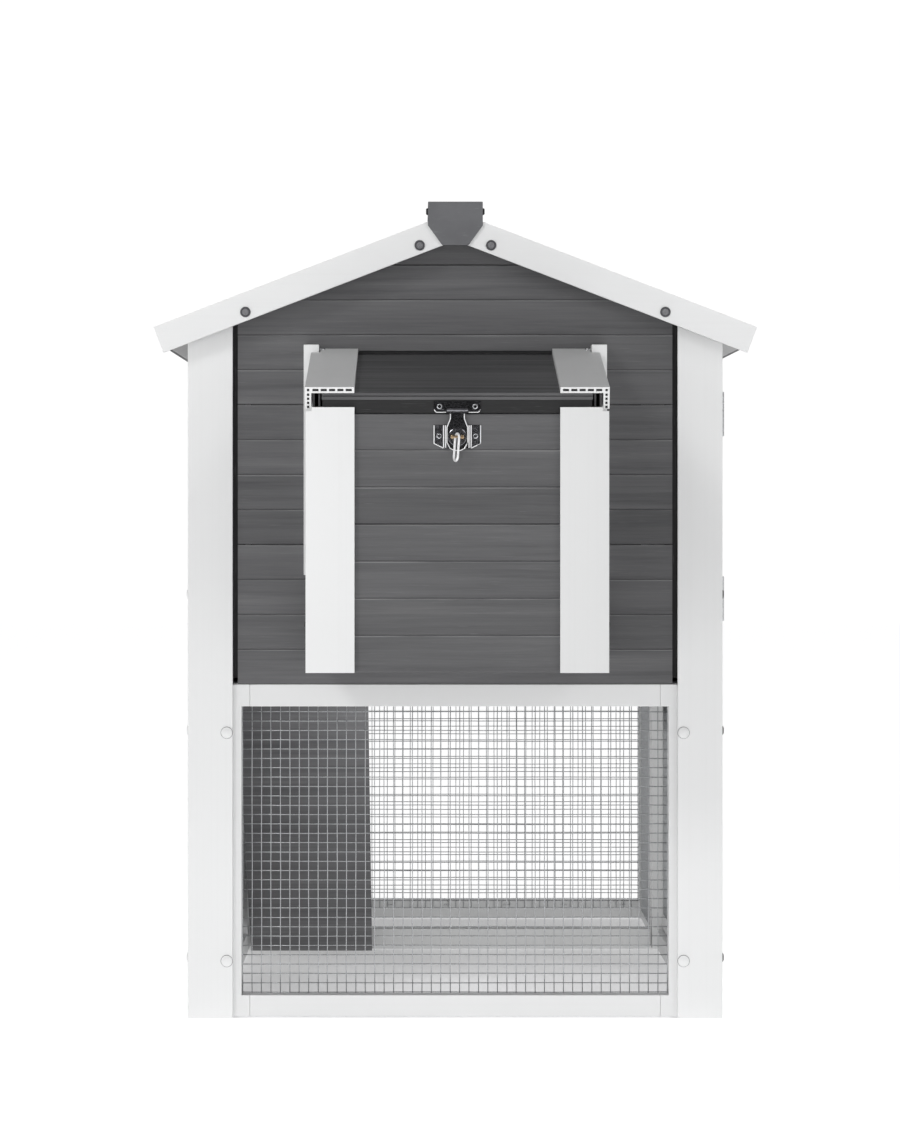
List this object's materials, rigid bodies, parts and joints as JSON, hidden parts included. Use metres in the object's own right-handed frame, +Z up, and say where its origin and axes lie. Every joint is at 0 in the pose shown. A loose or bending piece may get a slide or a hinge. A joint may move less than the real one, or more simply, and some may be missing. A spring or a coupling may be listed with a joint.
{
  "type": "rabbit hutch",
  "caption": "Two-storey rabbit hutch with a mesh run below, a boarded gabled house above and a nest box with a hinged lid on the front gable.",
  "frame": {"origin": "middle of the overall bounding box, on the ground under the posts", "axes": "+Z up; +Y from the nest box end to the rear end; +X to the right when facing the nest box"},
  "size_m": [0.802, 1.5102, 1.0894],
  "materials": {
    "trim_white": "satin moulded white, fine extrusion lines",
    "siding_grey": "matt dark grey with streaked wood-like grain",
    "cap_grey": "matt mid grey",
    "mesh_steel": "galvanised",
    "hasp_chrome": "polished plate",
    "screw_black": "black oxide",
    "tray_grey": "moulded grey"
  },
  "bodies": {
    "root": {"front_left_post": "trim_white", "front_right_post": "trim_white", "rear_posts": "trim_white", "middle_posts": "trim_white", "front_run_frame": "trim_white", "rear_run_frame": "trim_white", "cross_rails": "trim_white", "right_run_frame": "trim_white", "left_run_frame": "trim_white", "rear_bay_run_frames": "trim_white", "front_run_mesh": "mesh_steel", "rear_run_mesh": "mesh_steel", "right_run_mesh": "mesh_steel", "rear_bay_run_meshes": "mesh_steel", "front_gable_siding": "siding_grey", "rear_gable_siding": "siding_grey", "left_siding": "siding_grey", "wall_studs": "siding_grey", "wall_plates": "trim_white", "window_frame": "trim_white", "window_mesh": "mesh_steel", "house_floor": "siding_grey", "ramp": "siding_grey", "left_roof_panel": "siding_grey", "right_roof_panel": "siding_grey", "front_rake_trims": "trim_white", "rear_rake_trims": "trim_white", "ridge_cap": "cap_grey", "ridge_beam": "cap_grey", "nest_front_panel": "siding_grey", "nest_side_panels": "siding_grey", "nest_floor": "siding_grey", "nest_corner_trims": "trim_white", "nest_wall_trims": "trim_white", "lid_hinge_wall_leaves": "mesh_steel", "staple_plate": "hasp_chrome", "door_hinge_post_leaves": "mesh_steel", "bolt_keepers": "mesh_steel", "white_screw_caps": "trim_white", "grey_screw_caps": "cap_grey", "black_screw_heads": "screw_black"},
    "nest_lid": {"lid_boards": "siding_grey", "lid_trims": "trim_white", "lid_batten": "siding_grey", "lid_hinge_lid_leaves": "mesh_steel", "hasp_plate": "hasp_chrome"},
    "strap": {"hasp_strap": "hasp_chrome"},
    "ring": {"lock_ring": "hasp_chrome"},
    "house_door": {"house_door_frame": "trim_white", "house_door_siding": "siding_grey", "house_door_hinge_leaves": "mesh_steel", "house_door_bolt_guide": "mesh_steel"},
    "house_bolt": {"house_door_bolt": "mesh_steel"},
    "run_door": {"run_door_frame": "trim_white", "run_door_mesh": "mesh_steel", "run_door_hinge_leaves": "mesh_steel", "run_door_bolt_guide": "mesh_steel"},
    "run_bolt": {"run_door_bolt": "mesh_steel"},
    "tray": {"litter_tray": "tray_grey"}
  },
  "joints": [
    {"name": "nest_lid_hinge", "type": "hinge", "parent": "root", "child": "nest_lid", "pos_m": [0, -0.45891, 0.89], "axis": [-1, 0, 0], "range_deg": [0, 75]},
    {"name": "hasp_strap_hinge", "type": "hinge", "parent": "nest_lid", "child": "strap", "pos_m": [0, -0.73561, 0.806], "axis": [-1, 0, 0], "range_deg": [0, 164]},
    {"name": "lock_ring_swing", "type": "hinge", "parent": "root", "child": "ring", "pos_m": [0, -0.74851, 0.772], "axis": [-1, 0, 0], "range_deg": [0, 80]},
    {"name": "house_door_hinge", "type": "hinge", "parent": "root", "child": "house_door", "pos_m": [0.3613, -0.39641, 0], "axis": [0, 0, -1], "range_deg": [0, 110]},
    {"name": "house_bolt_slide", "type": "slide", "parent": "house_door", "child": "house_bolt", "axis": [0, 1, 0], "range_m": [0, 0.018]},
    {"name": "run_door_hinge", "type": "hinge", "parent": "root", "child": "run_door", "pos_m": [0.3613, 0.28559, 0], "axis": [0, 0, 1], "range_deg": [0, 110]},
    {"name": "run_bolt_slide", "type": "slide", "parent": "run_door", "child": "run_bolt", "axis": [0, -1, 0], "range_m": [0, 0.018]},
    {"name": "tray_slide", "type": "slide", "parent": "root", "child": "tray", "axis": [1, 0, 0], "range_m": [0, 0.38]}
  ]
}
